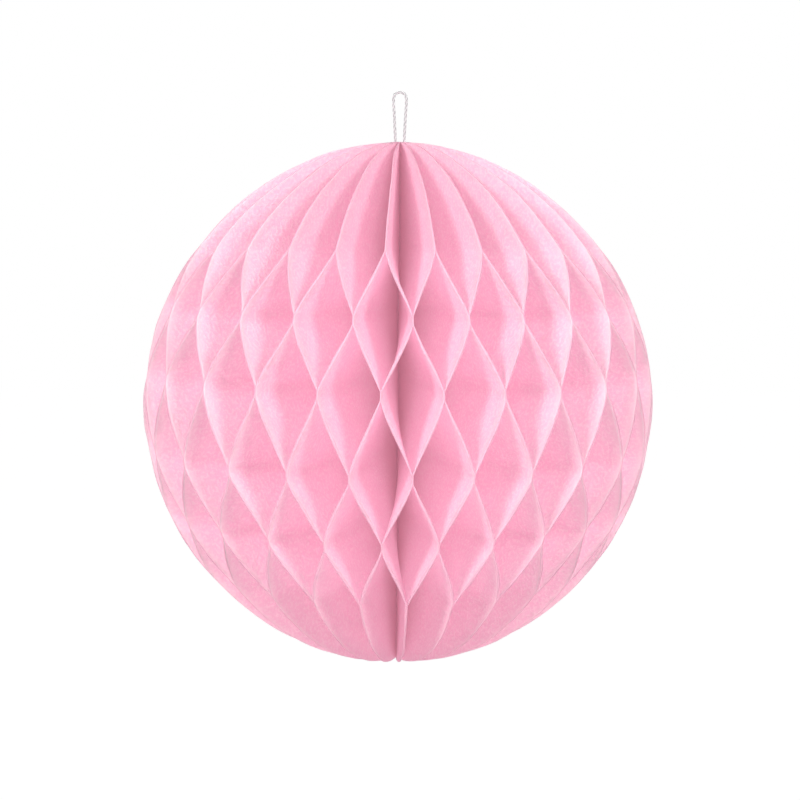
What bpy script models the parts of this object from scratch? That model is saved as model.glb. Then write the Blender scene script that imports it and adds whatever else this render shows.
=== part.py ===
"""Honeycomb paper ball on a twisted hanging cord, in metres, +Z up.

The ball is a stack of equal tissue leaves bound along one straight edge, the spine. Each leaf is
glued to its two neighbours along short level strips, on the right at one height and on the left at
the next, and the stack is fanned out through a whole turn. The leaves then zigzag between their
glue strips and leave wedge-shaped cells, open at the ball's outline and closed at the spine.

The origin is the point inside the top of the cord's loop that bears on a hook. The ball hangs
below it, and its photographed side faces -Y.
"""

import math

import bmesh
import bpy
from mathutils import Vector
from mathutils.geometry import interpolate_bezier

# The ball's outline, cut through every leaf
BALL_WIDTH = 0.1952
BALL_HEIGHT = 0.200
OUTLINE_FULLNESS = 1.94  # exponent of the outline: 2 is an ellipse, less is slimmer
LOOP_RISE = 0.0182  # from the ball's top up to the point that bears on a hook

# The leaves, and how they are glued
LEAF_COUNT = 50  # even, so that the last leaf can be glued to the first
LEAF_THICKNESS = 0.0004
SPINE_GAP = 0.0001  # room left between two leaves where a cell closes at the spine
GLUE_LINE_COUNT = 6
GLUE_LINE_PITCH = 0.0247
MIDDLE_LINE_PITCH = 0.0285  # between the two lines nearest the middle
GLUE_LINES_DROP = 0.0013  # how far the set of lines lies below the ball's middle
GLUE_STRIP_HEIGHT = 0.0030

# How the fanned leaves are spread round the spine, turning from -Y towards +X
FIRST_LEAF_TURN = math.radians(-12.4)
CROWDING = 0.118  # share by which leaves stand closer than the average where they stand closest
CROWDED_TURN = math.radians(7.6)  # side where they stand closest, and the opposite side too

# How finely the curved walls are divided
STEPS_BETWEEN_LINES = 3
STEPS_TO_POLE = 6
LEAF_SWEEP = 0.2  # 0 leaves the glue strips with a kink, 1 with a soft S-curve

# The hanging cord
CORD_DIAMETER = 0.0011
CORD_CLEARANCE = 0.0003  # between the cord and the paper round it
CORD_HOLE_SIDES = 12
CORD_SIDE_COUNT = 8
CORD_STEP_COUNT = 2  # straight steps from one point of its route to the next
# Sideways place and height above the ball's top, from one end in the spine round to the other
CORD_ROUTE = (
    (-0.00170, -0.0075),
    (-0.00170, -0.0045),
    (-0.00170, -0.0015),
    (-0.00173, 0.0015),
    (-0.00185, 0.0045),
    (-0.00200, 0.0075),
    (-0.00216, 0.0105),
    (-0.00234, 0.0135),
    (-0.00244, 0.0160),
    (-0.00204, 0.01775),
    (-0.00110, 0.01852),
    (0.00000, 0.01875),
    (0.00110, 0.01852),
    (0.00204, 0.01775),
    (0.00244, 0.0160),
    (0.00234, 0.0135),
    (0.00216, 0.0105),
    (0.00200, 0.0075),
    (0.00185, 0.0045),
    (0.00173, 0.0015),
    (0.00170, -0.0015),
    (0.00170, -0.0045),
    (0.00170, -0.0075),
)

HALF_HEIGHT = BALL_HEIGHT / 2
BALL_CENTRE_Z = -(LOOP_RISE + HALF_HEIGHT)
LEAF_STEP = math.tau / LEAF_COUNT
SPINE_RADIUS = LEAF_COUNT * (LEAF_THICKNESS + SPINE_GAP) / (math.tau * (1 - CROWDING))


def outline_radius(height):
    """Radius of the ball at a height above its middle, never less than the spine's."""
    share = min(abs(height) / HALF_HEIGHT, 1.0)
    radius = BALL_WIDTH / 2 * (1 - share**OUTLINE_FULLNESS) ** (1 / OUTLINE_FULLNESS)
    return max(radius, SPINE_RADIUS)


def joint_turn(joint):
    """Turn round the spine, from -Y towards +X, of the joint between leaves joint - 1 and joint."""
    even = FIRST_LEAF_TURN + joint * LEAF_STEP
    return CROWDED_TURN + even - CROWDING / 2 * math.sin(2 * even)


def glue_line_heights():
    """Heights of the glue lines above the ball's middle, lowest first."""
    pairs_below = GLUE_LINE_COUNT // 2 - 1
    lowest = -GLUE_LINES_DROP - MIDDLE_LINE_PITCH / 2 - pairs_below * GLUE_LINE_PITCH
    heights = [lowest]
    for line in range(1, GLUE_LINE_COUNT):
        pitch = MIDDLE_LINE_PITCH if line == GLUE_LINE_COUNT // 2 else GLUE_LINE_PITCH
        heights.append(heights[-1] + pitch)
    return heights


class Level:
    """One height of the ball: how far the leaves have moved from one glue line to the next."""

    def __init__(self, height, line, moved=0.0):
        self.height = height
        self.line = line
        self.moved = moved
        self.radius = outline_radius(height)
        self.leaf_turn = LEAF_THICKNESS / self.radius

    def is_glued(self, joint):
        """True where the leaves on both sides of a joint lie together at this height."""
        return self.moved == 0.0 and (joint + self.line) % 2 == 1

    def faces_at_line(self, leaf, line):
        """Turns of a leaf's left and right faces at a glue line."""
        if (leaf + line) % 2 == 1:
            left = joint_turn(leaf)
            return left, left + self.leaf_turn
        right = joint_turn(leaf + 1)
        return right - self.leaf_turn, right

    def faces(self, leaf):
        """Turns of a leaf's left and right faces at this height."""
        left, right = self.faces_at_line(leaf, self.line)
        if self.moved == 0.0:
            return left, right
        next_left, next_right = self.faces_at_line(leaf, self.line + 1)
        return left + (next_left - left) * self.moved, right + (next_right - right) * self.moved


def swept(share):
    """Share of a leaf's sideways move that is done at a share of the way between two lines."""
    smooth = share * share * (3 - 2 * share)
    return share + LEAF_SWEEP * (smooth - share)


def ball_levels():
    """All levels of the ball, from its bottom to its top."""
    lines = glue_line_heights()
    half_strip = GLUE_STRIP_HEIGHT / 2
    last = len(lines) - 1
    levels = []
    for step in range(STEPS_TO_POLE, 0, -1):
        share = math.sin(math.pi / 2 * step / STEPS_TO_POLE)
        start = lines[0] - half_strip
        levels.append(Level(start + (-HALF_HEIGHT - start) * share, 0))
    for line, height in enumerate(lines):
        levels.append(Level(height - half_strip, line))
        levels.append(Level(height + half_strip, line))
        if line < last:
            start = height + half_strip
            rise = lines[line + 1] - half_strip - start
            for step in range(1, STEPS_BETWEEN_LINES):
                share = step / STEPS_BETWEEN_LINES
                levels.append(Level(start + rise * share, line, swept(share)))
    for step in range(1, STEPS_TO_POLE + 1):
        share = math.sin(math.pi / 2 * step / STEPS_TO_POLE)
        start = lines[last] + half_strip
        levels.append(Level(start + (HALF_HEIGHT - start) * share, last))
    return levels


class BallMesh:
    """Builds the ball's skin: leaf edges, cell walls, and the spine's two ends."""

    def __init__(self):
        self.mesh = bmesh.new()
        self.levels = ball_levels()
        self.points = {}

    def point(self, key, radius, turn, height):
        """The point with this key, made once."""
        if key not in self.points:
            place = (radius * math.sin(turn), -radius * math.cos(turn), height)
            self.points[key] = self.mesh.verts.new(place)
        return self.points[key]

    def edge_point(self, row, leaf, side):
        """A corner of a leaf's cut edge; side 0 is its left face and 1 its right."""
        level = self.levels[row]
        leaf = leaf % LEAF_COUNT
        joint = (leaf + side) % LEAF_COUNT
        key = (row, joint) if level.is_glued(joint) else (row, leaf, side)
        return self.point(key, level.radius, level.faces(leaf)[side], level.height)

    def spine_point(self, row, joint):
        """The point where a cell closes at the spine."""
        joint = joint % LEAF_COUNT
        key = (row, joint, "spine")
        return self.point(key, SPINE_RADIUS, joint_turn(joint), self.levels[row].height)

    def add_leaf_edges(self):
        """The narrow cut edge of every leaf, from pole to pole."""
        for row in range(len(self.levels) - 1):
            for leaf in range(LEAF_COUNT):
                left, right = self.edge_point(row, leaf, 0), self.edge_point(row, leaf, 1)
                upper_left, upper_right = self.edge_point(row + 1, leaf, 0), self.edge_point(row + 1, leaf, 1)
                self.mesh.faces.new((left, right, upper_right))
                self.mesh.faces.new((left, upper_right, upper_left))

    def add_wall(self, inner, upper_inner, outer, upper_outer, low):
        """One stretch of a wall as two triangles; a low one keeps its lower corner at the spine."""
        if low:
            self.mesh.faces.new((inner, upper_outer, outer))
            self.mesh.faces.new((inner, upper_inner, upper_outer))
        else:
            self.mesh.faces.new((outer, upper_inner, upper_outer))
            self.mesh.faces.new((outer, inner, upper_inner))

    def add_cell_walls(self):
        """Both walls of every cell; their diagonals match on a leaf's two faces, so it stays whole."""
        for row in range(len(self.levels) - 1):
            low = self.levels[row].moved < 0.5
            for joint in range(LEAF_COUNT):
                if self.levels[row].is_glued(joint) and self.levels[row + 1].is_glued(joint):
                    continue
                inner, upper_inner = self.spine_point(row, joint), self.spine_point(row + 1, joint)
                for leaf, side in ((joint - 1, 1), (joint, 0)):
                    outer, upper_outer = self.edge_point(row, leaf, side), self.edge_point(row + 1, leaf, side)
                    self.add_wall(inner, upper_inner, outer, upper_outer, low)

    def spine_end_rim(self, row):
        """The points round one end of the spine, in order."""
        level = self.levels[row]
        rim = []
        for joint in range(LEAF_COUNT):
            rim.append(self.edge_point(row, joint - 1, 1))
            if not level.is_glued(joint):
                rim.append(self.spine_point(row, joint))
                rim.append(self.edge_point(row, joint, 0))
        return rim

    def add_cord_hole(self, across, depth):
        """A blind hole down from the spine's top; returns the edges of its mouth."""
        radius = CORD_DIAMETER / 2 + CORD_CLEARANCE
        mouth = []
        floor = []
        for side in range(CORD_HOLE_SIDES):
            turn = math.tau * side / CORD_HOLE_SIDES
            x, y = across + radius * math.cos(turn), radius * math.sin(turn)
            mouth.append(self.mesh.verts.new((x, y, HALF_HEIGHT)))
            floor.append(self.mesh.verts.new((x, y, HALF_HEIGHT - depth)))
        for side in range(CORD_HOLE_SIDES):
            after = (side + 1) % CORD_HOLE_SIDES
            self.mesh.faces.new((mouth[side], mouth[after], floor[after], floor[side]))
        self.mesh.faces.new(floor)
        return [self.mesh.edges.get((mouth[side - 1], mouth[side])) for side in range(CORD_HOLE_SIDES)]

    def add_spine_ends(self):
        """The spine's flat ends: the lower one is whole, the upper one holds the cord's holes."""
        self.mesh.faces.new(list(reversed(self.spine_end_rim(0))))
        rim = self.spine_end_rim(len(self.levels) - 1)
        edges = [self.mesh.edges.get((rim[place - 1], rim[place])) for place in range(len(rim))]
        for across, height in (CORD_ROUTE[0], CORD_ROUTE[-1]):
            edges += self.add_cord_hole(across, CORD_CLEARANCE - height)
        bmesh.ops.triangle_fill(self.mesh, use_beauty=True, edges=edges, normal=(0, 0, 1))

    def build(self, name):
        """The finished mesh, with its faces pointing out."""
        self.add_leaf_edges()
        self.add_cell_walls()
        self.add_spine_ends()
        bmesh.ops.recalc_face_normals(self.mesh, faces=self.mesh.faces[:])
        result = bpy.data.meshes.new(name)
        self.mesh.to_mesh(result)
        self.mesh.free()
        return result


def smooth_route():
    """Points of a smooth curve through the cord's route, in the ball's own frame."""
    knots = [Vector((x, 0.0, HALF_HEIGHT + height)) for x, height in CORD_ROUTE]
    points = []
    for place in range(len(knots) - 1):
        start, end = knots[place], knots[place + 1]
        before = knots[max(place - 1, 0)]
        after = knots[min(place + 2, len(knots) - 1)]
        span = (end - start).length
        leaving = (end - before).normalized() * span / 3
        arriving = (after - start).normalized() * span / 3
        curve = interpolate_bezier(start, start + leaving, end - arriving, end, CORD_STEP_COUNT + 1)
        points += curve[:-1]
    points.append(knots[-1])
    return points


def make_material(name, colour, roughness):
    """A plain Principled finish."""
    material = bpy.data.materials.new(name)
    material.use_nodes = True
    material.diffuse_color = (*colour, 1.0)
    shader = material.node_tree.nodes["Principled BSDF"]
    shader.inputs["Base Color"].default_value = (*colour, 1.0)
    shader.inputs["Roughness"].default_value = roughness
    shader.inputs["Metallic"].default_value = 0.0
    return material


def add_object(name, data, material, parent):
    """Links an object of this name under its parent."""
    item = bpy.data.objects.new(name, data)
    data.materials.append(material)
    item.parent = parent
    bpy.context.collection.objects.link(item)
    return item


def make_honeycomb(parent):
    """The leaves, glued into one body."""
    tissue = make_material("pink_tissue_paper", (0.98, 0.42, 0.62), 0.85)
    return add_object("honeycomb_paper", BallMesh().build("honeycomb_paper"), tissue, parent)


def make_cord(parent):
    """The hanging cord, a loop whose two ends are held in the spine."""
    curve = bpy.data.curves.new("hanging_cord", "CURVE")
    curve.dimensions = "3D"
    curve.bevel_depth = CORD_DIAMETER / 2
    curve.bevel_resolution = CORD_SIDE_COUNT // 2 - 2  # a tube has twice this many sides and four more
    curve.use_fill_caps = True
    points = smooth_route()
    spline = curve.splines.new("POLY")
    spline.points.add(len(points) - 1)
    for place, point in enumerate(points):
        spline.points[place].co = (*point, 1.0)
    cotton = make_material("white_cotton_cord", (0.82, 0.82, 0.80), 0.9)
    return add_object("hanging_cord", curve, cotton, parent)


def main():
    """Builds the ball and its cord under one empty at the ball's middle."""
    for item in list(bpy.data.objects):
        bpy.data.objects.remove(item, do_unlink=True)
    ball_middle = bpy.data.objects.new("ball_middle", None)
    ball_middle.location = (0.0, 0.0, BALL_CENTRE_Z)
    bpy.context.collection.objects.link(ball_middle)
    make_honeycomb(ball_middle)
    make_cord(ball_middle)


main()
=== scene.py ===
"""Looks of the honeycomb paper ball: fine tissue leaves, a twisted cotton cord, and a plain studio.

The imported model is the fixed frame. Its honeycomb is replaced by fifty thin leaves that follow the
same folds, and its cord by three yarns laid round each other. All lengths are in metres.
"""

import logging
import math
from dataclasses import dataclass, field
from enum import Enum
from typing import Any, Iterator, Sequence

import bmesh
import bpy
import numpy as np
from mathutils import Matrix, Vector, noise
from mathutils.geometry import interpolate_bezier


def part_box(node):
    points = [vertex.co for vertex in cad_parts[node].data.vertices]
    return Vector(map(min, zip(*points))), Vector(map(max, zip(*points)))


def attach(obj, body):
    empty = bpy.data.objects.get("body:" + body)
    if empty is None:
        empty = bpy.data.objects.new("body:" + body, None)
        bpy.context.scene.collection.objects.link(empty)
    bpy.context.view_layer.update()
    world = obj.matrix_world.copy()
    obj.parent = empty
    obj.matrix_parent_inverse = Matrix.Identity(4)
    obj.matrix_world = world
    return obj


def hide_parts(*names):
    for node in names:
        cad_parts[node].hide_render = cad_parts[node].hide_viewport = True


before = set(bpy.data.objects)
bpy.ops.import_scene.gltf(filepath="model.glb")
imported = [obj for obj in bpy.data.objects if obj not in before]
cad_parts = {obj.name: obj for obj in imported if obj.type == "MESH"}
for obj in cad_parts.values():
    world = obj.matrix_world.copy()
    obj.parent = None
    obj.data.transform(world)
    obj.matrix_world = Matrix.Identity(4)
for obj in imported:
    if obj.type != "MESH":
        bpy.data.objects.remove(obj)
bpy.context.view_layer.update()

log = logging.getLogger("honeycomb_ball")

BODY = "root"
PAPER_NODE = "honeycomb_paper"
CORD_NODE = "hanging_cord"
SHEET_MAP = "sheet_metres"
CUT_EDGE = "cut_edge"
DEPTH = "depth_in_cell"
YARN_MAP = "yarn_metres"
OUTWARD = "outward"
WHITE_SUN = math.pi  # strength of a sun that shows a white sheet facing it as just white


class Slot(Enum):
    """The record's material slots that the pieces take their finishes from."""

    TISSUE = "tissue_paper"
    COTTON = "cotton_cord"


class Side(Enum):
    """The neighbour that a leaf is glued to at one glue line."""

    LEFT = 0
    RIGHT = 1


class Value:
    """One output socket of a node tree. Arithmetic on it adds Math nodes."""

    def __init__(self, shading: "Shading", socket: bpy.types.NodeSocket) -> None:
        """Wraps an output socket of the given tree."""
        self.shading = shading
        self.socket = socket

    def _math(self, operation: str, *values: "Value | float") -> "Value":
        """Adds one Math node.

        Args:
            operation: the Math node's operation.
            values: its inputs in order.

        Returns:
            The node's output.
        """
        inputs = dict(enumerate(values))
        return self.shading.node("ShaderNodeMath", {"operation": operation}, inputs)[0]

    def __add__(self, other: "Value | float") -> "Value":
        """Returns self + other."""
        return self._math("ADD", self, other)

    def __radd__(self, other: float) -> "Value":
        """Returns other + self."""
        return self._math("ADD", other, self)

    def __sub__(self, other: "Value | float") -> "Value":
        """Returns self - other."""
        return self._math("SUBTRACT", self, other)

    def __rsub__(self, other: float) -> "Value":
        """Returns other - self."""
        return self._math("SUBTRACT", other, self)

    def __mul__(self, other: "Value | float") -> "Value":
        """Returns self * other."""
        return self._math("MULTIPLY", self, other)

    def __rmul__(self, other: float) -> "Value":
        """Returns other * self."""
        return self._math("MULTIPLY", other, self)

    def __abs__(self) -> "Value":
        """Returns the value without its sign."""
        return self._math("ABSOLUTE", self)

    def larger(self, other: "Value | float") -> "Value":
        """Returns the larger of the two values."""
        return self._math("MAXIMUM", self, other)

    def ramp(self, start: float, end: float) -> "Value":
        """Rises smoothly from 0 at start to 1 at end.

        Args:
            start: value that gives 0.
            end: value that gives 1; it may be less than start.

        Returns:
            The eased share.
        """
        settings = {"interpolation_type": "SMOOTHSTEP"}
        if start < end:
            inputs = {"Value": self, "From Min": start, "From Max": end}
            return self.shading.node("ShaderNodeMapRange", settings, inputs)["Result"]
        return 1 - self.ramp(end, start)


class Outputs:
    """The outputs of one node, by name or place."""

    def __init__(self, shading: "Shading", made: bpy.types.Node) -> None:
        """Wraps a node of the given tree."""
        self.shading = shading
        self.made = made

    def __getitem__(self, key: str | int) -> Value:
        """Returns the output with this name or place."""
        return Value(self.shading, self.made.outputs[key])


class Shading:
    """The node tree of one material or world."""

    def __init__(self, tree: bpy.types.NodeTree) -> None:
        """Empties the tree and keeps it."""
        self.tree = tree
        self.tree.nodes.clear()

    def node(
        self,
        kind: str,
        settings: dict[str, Any] | None = None,
        inputs: dict[str | int, Any] | None = None,
    ) -> Outputs:
        """Adds one node.

        Args:
            kind: the node's type.
            settings: its properties, set before its sockets.
            inputs: values or outputs for its sockets, by name or place.

        Returns:
            The node's outputs.
        """
        made = self.tree.nodes.new(kind)
        for name, value in (settings or {}).items():
            setattr(made, name, value)
        for key, value in (inputs or {}).items():
            if isinstance(value, Value):
                self.tree.links.new(value.socket, made.inputs[key])
            else:
                made.inputs[key].default_value = value
        return Outputs(self, made)

    def blend(self, share: "Value | float", first: Any, second: Any) -> Value:
        """Mixes two colours.

        Args:
            share: share of the second colour.
            first: colour or output at share 0.
            second: colour or output at share 1.

        Returns:
            The mixed colour.
        """
        made = self.node("ShaderNodeMix", {"data_type": "RGBA"}, {0: share, 6: first, 7: second})
        return made[2]


def rgb(red: float, green: float, blue: float) -> tuple[float, float, float, float]:
    """Returns a linear colour with full alpha."""
    return (red, green, blue, 1.0)


@dataclass(frozen=True)
class TissueFinish:
    """Thin dyed tissue: matt, letting some light through, with a cloudy and fibrous sheet, painted
    light towards the cut edge and painted shade deep in the cells.
    """

    dense: tuple = rgb(0.875, 0.635, 0.732)
    thin: tuple = rgb(0.905, 0.735, 0.80)
    fleck_and_rim_light: tuple = rgb(0.95, 0.90, 0.88)
    edge: tuple = rgb(0.94, 0.57, 0.69)
    spine_shade: tuple = rgb(0.80, 0.48, 0.565)  # painted shade: darker deep in the cells, where the leaves crowd to the spine
    through: tuple = rgb(0.90, 0.655, 0.757)
    edge_start: float = 0.8  # share of the last column, towards the rim, where its colour begins
    edge_strength: float = 0.9
    rim_light_share: float = 0.05  # share of a leaf's width, from its cut edge, that is painted paler: painted light where light reaches into the cells
    rim_light_strength: float = 0.65
    spine_shade_start: float = 0.35  # share of the way in where the painted shade begins to deepen the colour
    see_through: float = 0.50
    bound_dimming: float = 0.5  # share of the passed light that is lost where the leaves crowd
    roughness: float = 0.92
    shine: float = 0.12
    cloud_size: float = 0.0060
    cloud_range: tuple = (0.35, 0.70)
    cloud_share: float = 0.6  # the rest of the thin places comes from the flecks' noise
    fleck_size: float = 0.0012
    fleck_range: tuple = (0.50, 0.62)
    fleck_strength: float = 0.65
    speckle_range: tuple = (0.35, 0.65)
    fibre_size: float = 0.0022
    fibre_shifts: tuple = (0.0, 7.3)  # one layer of fibres each
    fibre_range: tuple = (0.030, 0.004)  # from the fibre's rim to its middle
    fibre_strength: float = 0.4
    fibre_height: float = 0.6
    noise_roughness: float = 0.6
    bump_strength: float = 0.5
    bump_depth: float = 0.00110

    def material(self) -> bpy.types.Material:
        """Returns the material; it reads the sheet's own map, which is in metres."""
        made = bpy.data.materials.new("pink_tissue_sheet")
        made.use_nodes = True
        shading = Shading(made.node_tree)
        sheet = shading.node("ShaderNodeUVMap", {"uv_map": SHEET_MAP})["UV"]
        clouds = self.pattern(shading, sheet, self.cloud_size, detail=3.0)
        flecks = self.pattern(shading, sheet, self.fleck_size, detail=2.0)
        fibres = self.fibres(shading, sheet)
        cut_edge = shading.node("ShaderNodeAttribute", {"attribute_name": CUT_EDGE})["Fac"]
        depth = shading.node("ShaderNodeAttribute", {"attribute_name": DEPTH})["Fac"]
        thin_share = clouds.ramp(*self.cloud_range) * self.cloud_share
        thin_share += flecks.ramp(*self.speckle_range) * (1 - self.cloud_share)
        flecked = flecks.ramp(*self.fleck_range) * self.fleck_strength
        # Painted light: the colour pales towards the cut edge, where light reaches into the cells.
        rim_light = depth.ramp(self.rim_light_share, 0.0) * self.rim_light_strength
        edged = cut_edge.ramp(self.edge_start, 1.0) * self.edge_strength
        # Painted shade: the colour darkens towards the spine, where shade falls deep in the cells.
        deep = depth.ramp(self.spine_shade_start, 1.0)
        colour = shading.blend(thin_share, self.dense, self.thin)
        colour = shading.blend(flecked, colour, self.fleck_and_rim_light)
        colour = shading.blend(fibres * self.fibre_strength, colour, self.fleck_and_rim_light)
        colour = shading.blend(rim_light, colour, self.fleck_and_rim_light)
        colour = shading.blend(edged, colour, self.edge)
        colour = shading.blend(deep, colour, self.spine_shade)
        height = flecks + fibres * self.fibre_height
        bump = shading.node(
            "ShaderNodeBump",
            {},
            {"Strength": self.bump_strength, "Distance": self.bump_depth, "Height": height},
        )["Normal"]
        paper = shading.node(
            "ShaderNodeBsdfPrincipled",
            {},
            {
                "Base Color": colour,
                "Roughness": self.roughness,
                "Specular IOR Level": self.shine,
                "Normal": bump,
            },
        )["BSDF"]
        glow = shading.node("ShaderNodeBsdfTranslucent", {}, {"Color": self.through})["BSDF"]
        glow_share = (1 - deep * self.bound_dimming) * self.see_through
        mixed = shading.node("ShaderNodeMixShader", {}, {0: glow_share, 1: paper, 2: glow})[0]
        shading.node("ShaderNodeOutputMaterial", {}, {"Surface": mixed})
        return made

    def pattern(self, shading: Shading, sheet: Value, size: float, detail: float) -> Value:
        """Returns cloudy noise whose features have this size on the sheet."""
        settings = {"noise_dimensions": "2D"}
        inputs = {
            "Vector": sheet,
            "Scale": 1 / size,
            "Detail": detail,
            "Roughness": self.noise_roughness,
        }
        return shading.node("ShaderNodeTexNoise", settings, inputs)["Fac"]

    def fibres(self, shading: Shading, sheet: Value) -> Value:
        """Returns thin curved lines, where two slow noises pass through their middle."""
        lines = None
        for shift in self.fibre_shifts:
            moved = shading.node(
                "ShaderNodeVectorMath", {"operation": "ADD"}, {0: sheet, 1: (shift, shift, 0.0)}
            )["Vector"]
            wander = self.pattern(shading, moved, self.fibre_size, detail=1.0)
            line = abs(wander - 0.5).ramp(*self.fibre_range)
            lines = line if lines is None else lines.larger(line)
        return lines


@dataclass(frozen=True)
class CottonFinish:
    """White cotton yarn, with painted shade greying it in the grooves between the yarns."""

    crown: tuple = rgb(0.58, 0.58, 0.58)
    groove_shade: tuple = rgb(0.34, 0.34, 0.35)
    groove_shade_range: tuple = (-0.1, 0.75)  # painted shade, from the height of the grooves to the crown's, 1 at the very top
    roughness: float = 0.9
    shine: float = 0.2
    hair_size: float = 0.00012
    hair_slant: float = 3.0
    hair_detail: float = 2.0
    hair_contrast: float = 0.3
    bump_strength: float = 0.6
    bump_depth: float = 0.00002

    def material(self) -> bpy.types.Material:
        """Returns the material; it reads the yarn's own map, and its height out of the grooves for
        the painted shade.
        """
        made = bpy.data.materials.new("white_cotton_yarn")
        made.use_nodes = True
        shading = Shading(made.node_tree)
        along = shading.node("ShaderNodeUVMap", {"uv_map": YARN_MAP})["UV"]
        hairs = shading.node(
            "ShaderNodeTexNoise",
            {"noise_dimensions": "2D"},
            {
                "Vector": shading.node(
                    "ShaderNodeVectorMath",
                    {"operation": "MULTIPLY"},
                    {0: along, 1: (1.0, self.hair_slant, 0.0)},
                )["Vector"],
                "Scale": 1 / self.hair_size,
                "Detail": self.hair_detail,
            },
        )["Fac"]
        outward = shading.node("ShaderNodeAttribute", {"attribute_name": OUTWARD})["Fac"]
        hairy = hairs * self.hair_contrast + (1 - self.hair_contrast / 2)
        # Painted shade: the colour greys towards the grooves between the yarns, where shade falls.
        colour = shading.blend(outward.ramp(*self.groove_shade_range) * hairy, self.groove_shade, self.crown)
        bump = shading.node(
            "ShaderNodeBump",
            {},
            {"Strength": self.bump_strength, "Distance": self.bump_depth, "Height": hairs},
        )["Normal"]
        yarn = shading.node(
            "ShaderNodeBsdfPrincipled",
            {},
            {
                "Base Color": colour,
                "Roughness": self.roughness,
                "Specular IOR Level": self.shine,
                "Normal": bump,
            },
        )["BSDF"]
        shading.node("ShaderNodeOutputMaterial", {}, {"Surface": yarn})
        return made


def deselect_all() -> None:
    """Deselects every object, so that the next operator acts on its own piece alone."""
    bpy.ops.object.select_all(action="DESELECT")


def make_active(piece: bpy.types.Object) -> None:
    """Selects one object and makes it the active one."""
    deselect_all()
    piece.select_set(True)
    bpy.context.view_layer.objects.active = piece


def apply_modifiers(piece: bpy.types.Object) -> None:
    """Applies every modifier of a piece, in order."""
    make_active(piece)
    for modifier in list(piece.modifiers):
        bpy.ops.object.modifier_apply(modifier=modifier.name)


def smooth(share: float) -> float:
    """Returns the share eased at both ends."""
    return share * share * (3 - 2 * share)


@dataclass
class LeafRow:
    """One level row of grid points across a leaf."""

    height: float  # above the ball's middle
    line: int  # glue line at or below the row; the lowest line for rows under it
    moved: float  # share of the way that the leaf has moved towards its next neighbour


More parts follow.
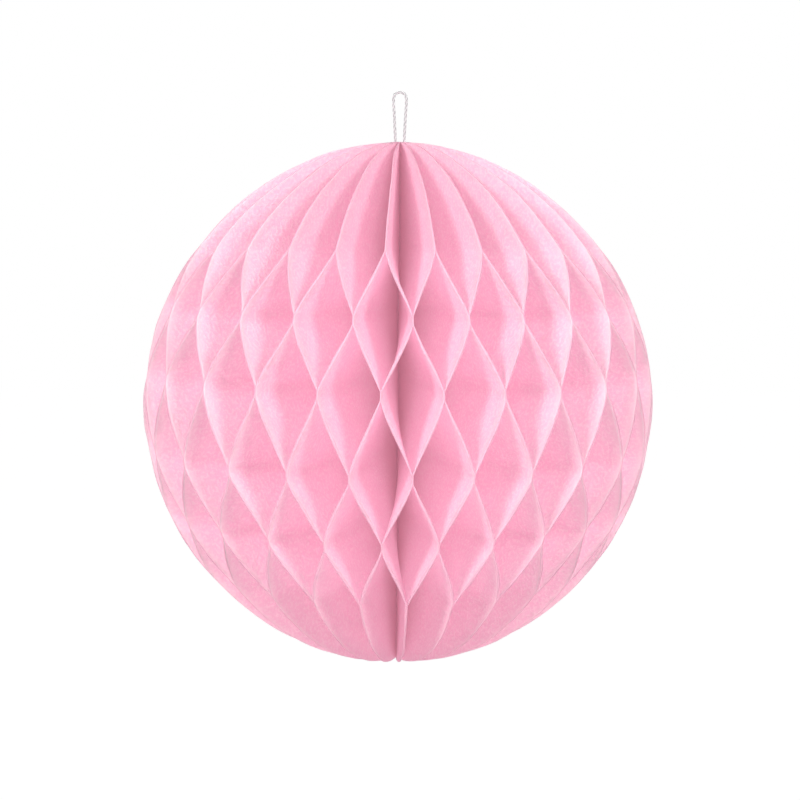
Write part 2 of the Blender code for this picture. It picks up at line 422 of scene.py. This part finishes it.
@dataclass
class HoneycombPaper:
    """The fanned tissue leaves, glued in turn to the neighbour on the left and on the right."""

    width: float = 0.1952
    fullness: float = 1.94  # exponent of the outline; 2 gives an ellipse
    leaf_count: int = 50
    thickness: float = 0.00020
    rim_thickness: float = 0.00115  # the cut edge is frayed and stands a little open
    glue_gap: float = 0.00002
    line_count: int = 6
    line_pitch: float = 0.0247
    middle_pitch: float = 0.0285
    lines_drop: float = 0.0013  # how far the glue lines' middle lies below the ball's
    strip_height: float = 0.0030
    first_turn: float = math.radians(-12.4)  # of the first joint, before the crowding
    crowding: float = 0.118  # share by which the leaves stand closer at the front and the back
    crowded_turn: float = math.radians(7.6)  # turn of the place where they stand closest
    sweep: float = 0.2  # share of easing in a wall's way from one glue line to the next
    steps_between_lines: int = 10
    steps_to_pole: int = 16
    columns: int = 20
    rim_columns_crowding: float = 1.5
    pole_width: float = 0.0012  # how far the leaves reach past the spine at the poles
    glued_fray: float = 0.1  # share of the rim's thickness that stays open at the glue
    waviness: float = 0.0005
    wave_size: float = 0.030
    crinkles: float = 0.0002
    crinkle_size: float = 0.009
    wave_seed: int = 7  # without a seed the waves would differ from run to run
    finish: TissueFinish = field(default_factory=TissueFinish)

    def __post_init__(self) -> None:
        """Takes the ball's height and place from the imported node."""
        low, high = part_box(PAPER_NODE)
        self.middle = (low[2] + high[2]) / 2
        self.half_height = (high[2] - low[2]) / 2
        self.leaf_step = math.tau / self.leaf_count
        self.pitch_of_stack = self.thickness + self.glue_gap
        self.spine_radius = self.leaf_count * self.pitch_of_stack / (math.tau * (1 - self.crowding))
        self.rows = list(self.leaf_rows())

    def outline_radius(self, height: float) -> float:
        """Returns the ball's radius at a height above its middle."""
        share = min(abs(height) / self.half_height, 1.0)
        radius = self.width / 2 * (1 - share**self.fullness) ** (1 / self.fullness)
        return max(radius, self.spine_radius + self.pole_width)

    def joint_turn(self, joint: int) -> float:
        """Returns the turn, from -Y towards +X, of the joint on a leaf's left."""
        even = self.first_turn + joint * self.leaf_step
        return self.crowded_turn + even - self.crowding / 2 * math.sin(2 * even)

    def line_heights(self) -> list[float]:
        """Returns the glue lines' heights above the ball's middle, lowest first."""
        pairs_below = self.line_count // 2 - 1
        heights = [-self.lines_drop - self.middle_pitch / 2 - pairs_below * self.line_pitch]
        for line in range(1, self.line_count):
            pitch = self.middle_pitch if line == self.line_count // 2 else self.line_pitch
            heights.append(heights[-1] + pitch)
        return heights

    def leaf_rows(self) -> Iterator[LeafRow]:
        """Yields the rows of a leaf's grid, from the bottom pole to the top one."""
        lines = self.line_heights()
        half_strip = self.strip_height / 2
        last = len(lines) - 1
        for step in range(self.steps_to_pole, 0, -1):
            share = math.sin(math.pi / 2 * step / self.steps_to_pole)
            start = lines[0] - half_strip
            yield LeafRow(start - (self.half_height + start) * share, 0, 0.0)
        for line, height in enumerate(lines):
            yield LeafRow(height - half_strip, line, 0.0)
            yield LeafRow(height + half_strip, line, 0.0)
            if line < last:
                start = height + half_strip
                rise = lines[line + 1] - half_strip - start
                for step in range(1, self.steps_between_lines):
                    share = step / self.steps_between_lines
                    moved = share + self.sweep * (smooth(share) - share)
                    yield LeafRow(start + rise * share, line, moved)
        for step in range(1, self.steps_to_pole + 1):
            share = math.sin(math.pi / 2 * step / self.steps_to_pole)
            start = lines[last] + half_strip
            yield LeafRow(start + (self.half_height - start) * share, last, 0.0)

    def glued_side(self, leaf: int, line: int) -> Side:
        """Returns the neighbour that a leaf is glued to at a glue line."""
        return Side.LEFT if (leaf + line) % 2 == 1 else Side.RIGHT

    def turn_at_line(self, leaf: int, line: int, radius: float) -> float:
        """Returns the turn of a leaf's middle surface at a glue line and a radius."""
        half_pitch = self.pitch_of_stack / 2 / radius
        if self.glued_side(leaf, line) is Side.LEFT:
            return self.joint_turn(leaf) + half_pitch
        return self.joint_turn(leaf + 1) - half_pitch

    def leaf_point(self, leaf: int, row: LeafRow, share: float) -> Vector:
        """Finds a point of a leaf's middle surface.

        Args:
            leaf: the leaf's number.
            row: the level row that holds the point.
            share: share of the way from the spine to the rim.

        Returns:
            The point in the object's frame.
        """
        radius = self.spine_radius + (self.outline_radius(row.height) - self.spine_radius) * share
        turn = self.turn_at_line(leaf, row.line, radius)
        if row.moved > 0:
            next_turn = self.turn_at_line(leaf, row.line + 1, radius)
            turn += (next_turn - turn) * row.moved
        point = Vector((radius * math.sin(turn), -radius * math.cos(turn), row.height))
        drift = noise.noise_vector(point / self.wave_size) * self.waviness
        drift += noise.noise_vector(point / self.crinkle_size) * self.crinkles
        return point + drift * share + Vector((0, 0, self.middle))

    def column_share(self, column: int) -> float:
        """Returns a column's share of the way to the rim; columns stand closer near the rim."""
        return 1 - (1 - column / self.columns) ** self.rim_columns_crowding

    def fold_leaf(self, leaf: int) -> bpy.types.Object:
        """Makes one leaf from a flat grid of tissue, folded to its place and given its thickness.

        Args:
            leaf: the leaf's number.

        Returns:
            The finished leaf.
        """
        deselect_all()
        rows = len(self.rows)
        bpy.ops.mesh.primitive_grid_add(
            x_subdivisions=self.columns, y_subdivisions=rows - 1, size=1
        )
        piece = bpy.context.object
        piece.name = f"tissue_leaf_{leaf + 1:02d}"
        mesh = piece.data
        mesh.name = piece.name
        sheet = {}
        depths = []
        rim = {}
        for vertex in mesh.vertices:
            column = round((vertex.co.x + 0.5) * self.columns)
            row = self.rows[round((vertex.co.y + 0.5) * (rows - 1))]
            share = self.column_share(column)
            vertex.co = self.leaf_point(leaf, row, share)
            across = self.outline_radius(row.height) * share
            # Each leaf has its own stretch of the map, so no two show the same pattern
            sheet[vertex.index] = (across + leaf * self.width, row.height)
            depths.append(1 - share)
            if column == self.columns:
                rim[vertex.index] = self.fray(row)
        mesh.attributes.new(DEPTH, "FLOAT", "POINT").data.foreach_set("value", depths)
        edge = mesh.attributes.new(CUT_EDGE, "FLOAT", "POINT")
        for index in rim:
            edge.data[index].value = 1.0
        layer = mesh.uv_layers[0]
        layer.name = SHEET_MAP
        for loop in mesh.loops:
            layer.data[loop.index].uv = sheet[loop.vertex_index]
        self.thicken(piece, rim)
        return piece

    def fray(self, row: LeafRow) -> float:
        """Returns how far the cut edge stands open at a row; the glue holds it shut."""
        return self.glued_fray + (1 - self.glued_fray) * 4 * row.moved * (1 - row.moved)

    def thicken(self, piece: bpy.types.Object, rim: dict[int, float]) -> None:
        """Gives a folded sheet its thickness on both sides, and a soft rounded cut edge.

        Args:
            piece: the folded sheet.
            rim: the points on its cut edge, and how far each stands open.
        """
        frayed = piece.vertex_groups.new(name="frayed")
        for index, openness in rim.items():
            frayed.add([index], openness, "REPLACE")
        shell = piece.modifiers.new("thickness", "SOLIDIFY")
        shell.thickness = self.rim_thickness
        shell.vertex_group = frayed.name
        shell.thickness_vertex_group = self.thickness / self.rim_thickness
        shell.offset = 0.0
        apply_modifiers(piece)
        bpy.ops.object.shade_smooth()

    def build(self) -> list[bpy.types.Object]:
        """Returns all leaves, dressed and riding on the body."""
        noise.seed_set(self.wave_seed)
        material = self.finish.material()
        leaves = []
        for leaf in range(self.leaf_count):
            piece = self.fold_leaf(leaf)
            dress(piece, material, PAPER_NODE)
            leaves.append(piece)
        return leaves


def dress(piece: bpy.types.Object, material: bpy.types.Material, node: str) -> None:
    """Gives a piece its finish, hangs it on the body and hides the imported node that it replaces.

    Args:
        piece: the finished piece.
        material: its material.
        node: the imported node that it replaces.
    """
    piece.data.materials.clear()
    piece.data.materials.append(material)
    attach(piece, BODY)
    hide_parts(node)
    log.info("%s: %d faces", piece.name, len(piece.data.polygons))


@dataclass
class HangingCord:
    """One cotton cord of three yarns, doubled into a loop whose ends go into the spine."""

    diameter: float = 0.0011
    yarn_count: int = 3
    yarn_share: float = 0.54  # a yarn's diameter as a share of the cord's
    lay_length: float = 0.0062
    yarn_sides: int = 10
    steps_per_lay: int = 22
    steps_per_span: int = 12
    # Sideways place and height above the ball's top, from one end in the spine round to the other
    route: tuple = (
        (-0.00170, -0.0075),
        (-0.00170, -0.0045),
        (-0.00170, -0.0015),
        (-0.00173, 0.0015),
        (-0.00185, 0.0045),
        (-0.00200, 0.0075),
        (-0.00216, 0.0105),
        (-0.00234, 0.0135),
        (-0.00244, 0.0160),
        (-0.00204, 0.01775),
        (-0.00110, 0.01852),
        (0.00000, 0.01875),
        (0.00110, 0.01852),
        (0.00204, 0.01775),
        (0.00244, 0.0160),
        (0.00234, 0.0135),
        (0.00216, 0.0105),
        (0.00200, 0.0075),
        (0.00185, 0.0045),
        (0.00173, 0.0015),
        (0.00170, -0.0015),
        (0.00170, -0.0045),
        (0.00170, -0.0075),
    )
    finish: CottonFinish = field(default_factory=CottonFinish)

    def __post_init__(self) -> None:
        """Takes the ball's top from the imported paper."""
        self.ball_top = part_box(PAPER_NODE)[1][2]

    def centreline(self) -> list[Vector]:
        """Returns evenly spaced points of a smooth curve through the route."""
        knots = [Vector((across, 0.0, self.ball_top + height)) for across, height in self.route]
        points = []
        for place in range(len(knots) - 1):
            start, end = knots[place], knots[place + 1]
            before = knots[max(place - 1, 0)]
            after = knots[min(place + 2, len(knots) - 1)]
            span = (end - start).length
            leaving = (end - before).normalized() * span / 3
            arriving = (after - start).normalized() * span / 3
            curve = interpolate_bezier(
                start, start + leaving, end - arriving, end, self.steps_per_span + 1
            )
            points += curve[:-1]
        return self.evenly_spaced(points + [knots[-1]])

    def evenly_spaced(self, points: Sequence[Vector]) -> list[Vector]:
        """Returns points at equal steps along a line of points."""
        line = np.array([tuple(point) for point in points])
        reached = np.concatenate([[0.0], np.cumsum(np.linalg.norm(np.diff(line, axis=0), axis=1))])
        count = round(reached[-1] / self.lay_length * self.steps_per_lay)
        wanted = np.linspace(0.0, reached[-1], count + 1)
        even = np.stack([np.interp(wanted, reached, line[:, axis]) for axis in range(3)], axis=1)
        return [Vector(point) for point in even]

    def yarn_line(self, points: Sequence[Vector], yarn: int) -> tuple[list[Vector], list[Vector]]:
        """Finds the path of one yarn, wound round the cord's own line.

        Args:
            points: the cord's line, at equal steps.
            yarn: the yarn's number.

        Returns:
            The yarn's points, and at each one the direction away from the cord's line.
        """
        offset = self.diameter / 2 * (1 - self.yarn_share)
        across = Vector((0.0, 1.0, 0.0))  # the route lies in the plane y = 0
        line, outward = [], []
        for place, point in enumerate(points):
            before = points[max(place - 1, 0)]
            after = points[min(place + 1, len(points) - 1)]
            sideways = across.cross((after - before).normalized())
            angle = math.tau * (place / self.steps_per_lay + yarn / self.yarn_count)
            out = sideways * math.cos(angle) + across * math.sin(angle)
            line.append(point + out * offset)
            outward.append(out)
        return line, outward

    def add_yarn(self, mesh: bmesh.types.BMesh, points: Sequence[Vector], yarn: int) -> None:
        """Adds one yarn as a closed tube, with its map and its height out of the groove."""
        line, outward = self.yarn_line(points, yarn)
        radius = self.diameter / 2 * self.yarn_share
        rings = []
        for place, (point, out) in enumerate(zip(line, outward)):
            before = line[max(place - 1, 0)]
            after = line[min(place + 1, len(line) - 1)]
            third = (after - before).normalized().cross(out).normalized()
            ring = []
            for side in range(self.yarn_sides):
                angle = math.tau * side / self.yarn_sides
                place_out = out * math.cos(angle) + third * math.sin(angle)
                vertex = mesh.verts.new(point + place_out * radius)
                vertex[mesh.verts.layers.float[OUTWARD]] = math.cos(angle)
                ring.append(vertex)
            rings.append(ring)
        layer = mesh.loops.layers.uv[YARN_MAP]
        step = self.lay_length / self.steps_per_lay
        for place in range(len(rings) - 1):
            for side in range(self.yarn_sides):
                after = (side + 1) % self.yarn_sides
                corners = (
                    rings[place][side],
                    rings[place][after],
                    rings[place + 1][after],
                    rings[place + 1][side],
                )
                face = mesh.faces.new(corners)
                face.smooth = True
                spots = ((place, side), (place, side + 1), (place + 1, side + 1), (place + 1, side))
                for loop, (along, round_it) in zip(face.loops, spots):
                    across = radius * math.tau * round_it / self.yarn_sides
                    loop[layer].uv = (along * step, across + yarn * self.diameter)
        mesh.faces.new(list(reversed(rings[0])))
        mesh.faces.new(rings[-1])

    def build(self) -> bpy.types.Object:
        """Returns the cord, dressed."""
        points = self.centreline()
        mesh = bmesh.new()
        mesh.verts.layers.float.new(OUTWARD)
        mesh.loops.layers.uv.new(YARN_MAP)
        for yarn in range(self.yarn_count):
            self.add_yarn(mesh, points, yarn)
        bmesh.ops.recalc_face_normals(mesh, faces=mesh.faces[:])
        data = bpy.data.meshes.new("twisted_cord")
        mesh.to_mesh(data)
        mesh.free()
        piece = bpy.data.objects.new("twisted_cord", data)
        bpy.context.collection.objects.link(piece)
        dress(piece, self.finish.material(), CORD_NODE)
        return piece


def direction(turn: float, elevation: float) -> Vector:
    """Returns the direction at a turn round the ball, from -Y towards +X, and an elevation."""
    level = math.cos(elevation)
    return Vector((math.sin(turn) * level, -math.cos(turn) * level, math.sin(elevation)))


@dataclass
class Studio:
    """A white room with a pale floor, soft lamps, weak fill, and the photograph's camera."""

    ball_middle: float
    ball_radius: float
    image_width: int = 800
    image_height: int = 800
    ball_radius_pixels: float = 252.1
    ball_middle_pixel: tuple = (398.2, 402.8)
    camera_radii: float = 7.2  # distance from the ball's middle, in ball radii
    camera_elevation: float = math.radians(6.3)
    camera_roll: float = math.radians(0.35)
    nearest_seen: float = 0.05  # in camera distances
    farthest_seen: float = 60.0  # in camera distances
    sensor_width: float = 36.0
    floor_drop: float = 0.63
    floor_size: float = 12.0
    floor_grey: float = 0.60
    floor_white_share: float = 0.80
    floor_white: float = 1.185  # with the lit share, the open floor comes out just white
    world_light: float = 0.25
    lamp_distance: float = 1.5
    lamp_size: float = 0.40
    lamp_elevation: float = math.radians(26)
    lamp_turn: float = math.radians(35)
    left_power: float = 14.8
    right_power: float = 12.1
    front_elevation: float = math.radians(12)
    front_power: float = 1.0
    # Each fill lamp's turn and elevation in degrees, and the share of white that it gives a sheet
    fill_lamps: tuple = (
        (0, 18, 0.20),
        (72, 18, 0.12),
        (144, 18, 0.115),
        (216, 18, 0.115),
        (288, 18, 0.12),
        (0, -90, 0.16),
    )
    fill_colour: tuple = (1.0, 0.86, 0.92)  # light that has passed through pink leaves

    def make_camera(self) -> bpy.types.Object:
        """Returns the camera, aimed so that the ball's middle falls on its pixel."""
        distance = self.camera_radii * self.ball_radius
        target = Vector((0.0, 0.0, self.ball_middle))
        back = Vector((0.0, -math.cos(self.camera_elevation), math.sin(self.camera_elevation)))
        turn = (-back).to_track_quat("-Z", "Y")
        turn = turn @ Matrix.Rotation(self.camera_roll, 3, "Z").to_quaternion()
        metres_per_pixel = self.ball_radius / self.ball_radius_pixels
        right = self.image_width / 2 - self.ball_middle_pixel[0]
        up = self.ball_middle_pixel[1] - self.image_height / 2
        aside = turn @ Vector((right, up, 0.0)) * metres_per_pixel
        focal_pixels = self.ball_radius_pixels * self.camera_radii
        data = bpy.data.cameras.new("photo_camera")
        data.sensor_width = self.sensor_width
        data.lens = focal_pixels * self.sensor_width / self.image_width
        data.clip_start = distance * self.nearest_seen
        data.clip_end = distance * self.farthest_seen
        camera = bpy.data.objects.new("photo_camera", data)
        camera.rotation_mode = "QUATERNION"
        camera.rotation_quaternion = turn
        camera.location = target + back * distance + aside
        bpy.context.collection.objects.link(camera)
        bpy.context.scene.camera = camera
        return camera

    def make_lamp(self, name: str, turn: float, elevation: float, power: float) -> bpy.types.Object:
        """Returns a soft square lamp that faces the ball.

        Args:
            name: the lamp's name.
            turn: its turn round the ball, from -Y towards +X.
            elevation: its angle above the ball's middle.
            power: its power in watts.

        Returns:
            The lamp.
        """
        data = bpy.data.lights.new(name, "AREA")
        data.shape = "SQUARE"
        data.size = self.lamp_size
        data.energy = power
        lamp = bpy.data.objects.new(name, data)
        out = direction(turn, elevation)
        lamp.location = Vector((0.0, 0.0, self.ball_middle)) + out * self.lamp_distance
        lamp.rotation_mode = "QUATERNION"
        lamp.rotation_quaternion = out.to_track_quat("Z", "Y")
        bpy.context.collection.objects.link(lamp)
        return lamp

    def make_fill(self) -> list[bpy.types.Object]:
        """Returns a ring of fill lamps, the strongest in front, and one below.

        Tissue passes light on from cell to cell many times. These lamps cast no shadow, so they
        reach the deep walls as that light does.
        """
        lamps = []
        for number, (turn, elevation, share) in enumerate(self.fill_lamps):
            data = bpy.data.lights.new(f"fill_lamp_{number + 1}", "SUN")
            data.energy = share * WHITE_SUN
            data.color = self.fill_colour
            data.use_shadow = False
            lamp = bpy.data.objects.new(data.name, data)
            out = direction(math.radians(turn), math.radians(elevation))
            lamp.rotation_mode = "QUATERNION"
            lamp.rotation_quaternion = out.to_track_quat("Z", "Y")
            bpy.context.collection.objects.link(lamp)
            lamps.append(lamp)
        return lamps

    def make_world(self) -> None:
        """Lights the room evenly, and shows it white to the camera.

        Light that has passed through a leaf sees the plain room, so that the white behind the ball
        adds nothing to the paper's own glow.
        """
        world = bpy.data.worlds.new("white_room")
        world.use_nodes = True
        bpy.context.scene.world = world
        shading = Shading(world.node_tree)
        rays = shading.node("ShaderNodeLightPath")
        seen = rays["Is Camera Ray"].larger(rays["Is Glossy Ray"])
        room = rgb(self.world_light, self.world_light, self.world_light)
        colour = shading.blend(seen, room, rgb(1.0, 1.0, 1.0))
        light = shading.node("ShaderNodeBackground", {}, {"Color": colour})["Background"]
        shading.node("ShaderNodeOutputWorld", {}, {"Surface": light})

    def make_floor(self) -> bpy.types.Object:
        """Returns a wide pale floor under the hanging ball."""
        deselect_all()
        height = self.ball_middle - self.floor_drop
        bpy.ops.mesh.primitive_plane_add(size=self.floor_size, location=(0.0, 0.0, height))
        floor = bpy.context.object
        floor.name = "studio_floor"
        material = bpy.data.materials.new("pale_floor")
        material.use_nodes = True
        shading = Shading(material.node_tree)
        grey = rgb(self.floor_grey, self.floor_grey, self.floor_grey)
        matt = shading.node("ShaderNodeBsdfDiffuse", {}, {"Color": grey})["BSDF"]
        white = shading.node("ShaderNodeEmission", {}, {"Strength": self.floor_white})["Emission"]
        rays = shading.node("ShaderNodeLightPath")
        seen = rays["Is Camera Ray"].larger(rays["Is Glossy Ray"]) * self.floor_white_share
        mixed = shading.node("ShaderNodeMixShader", {}, {0: seen, 1: matt, 2: white})[0]
        shading.node("ShaderNodeOutputMaterial", {}, {"Surface": mixed})
        floor.data.materials.append(material)
        return floor

    def build(self) -> None:
        """Makes the camera, the lamps, the world and the floor."""
        self.make_camera()
        self.make_lamp("soft_lamp_left", -self.lamp_turn, self.lamp_elevation, self.left_power)
        self.make_lamp("soft_lamp_right", self.lamp_turn, self.lamp_elevation, self.right_power)
        self.make_lamp("soft_lamp_front", 0.0, self.front_elevation, self.front_power)
        self.make_fill()
        self.make_world()
        self.make_floor()
        bpy.context.scene.view_settings.view_transform = "Standard"


def main() -> None:
    """Builds the ball, its cord and the studio, and reports each piece."""
    logging.basicConfig(level=logging.INFO, format="%(name)s: %(message)s")
    deselect_all()
    paper = HoneycombPaper()
    studio = Studio(ball_middle=paper.middle, ball_radius=paper.width / 2)
    studio.build()
    HangingCord().build()
    paper.build()


if __name__ == "__main__":
    main()
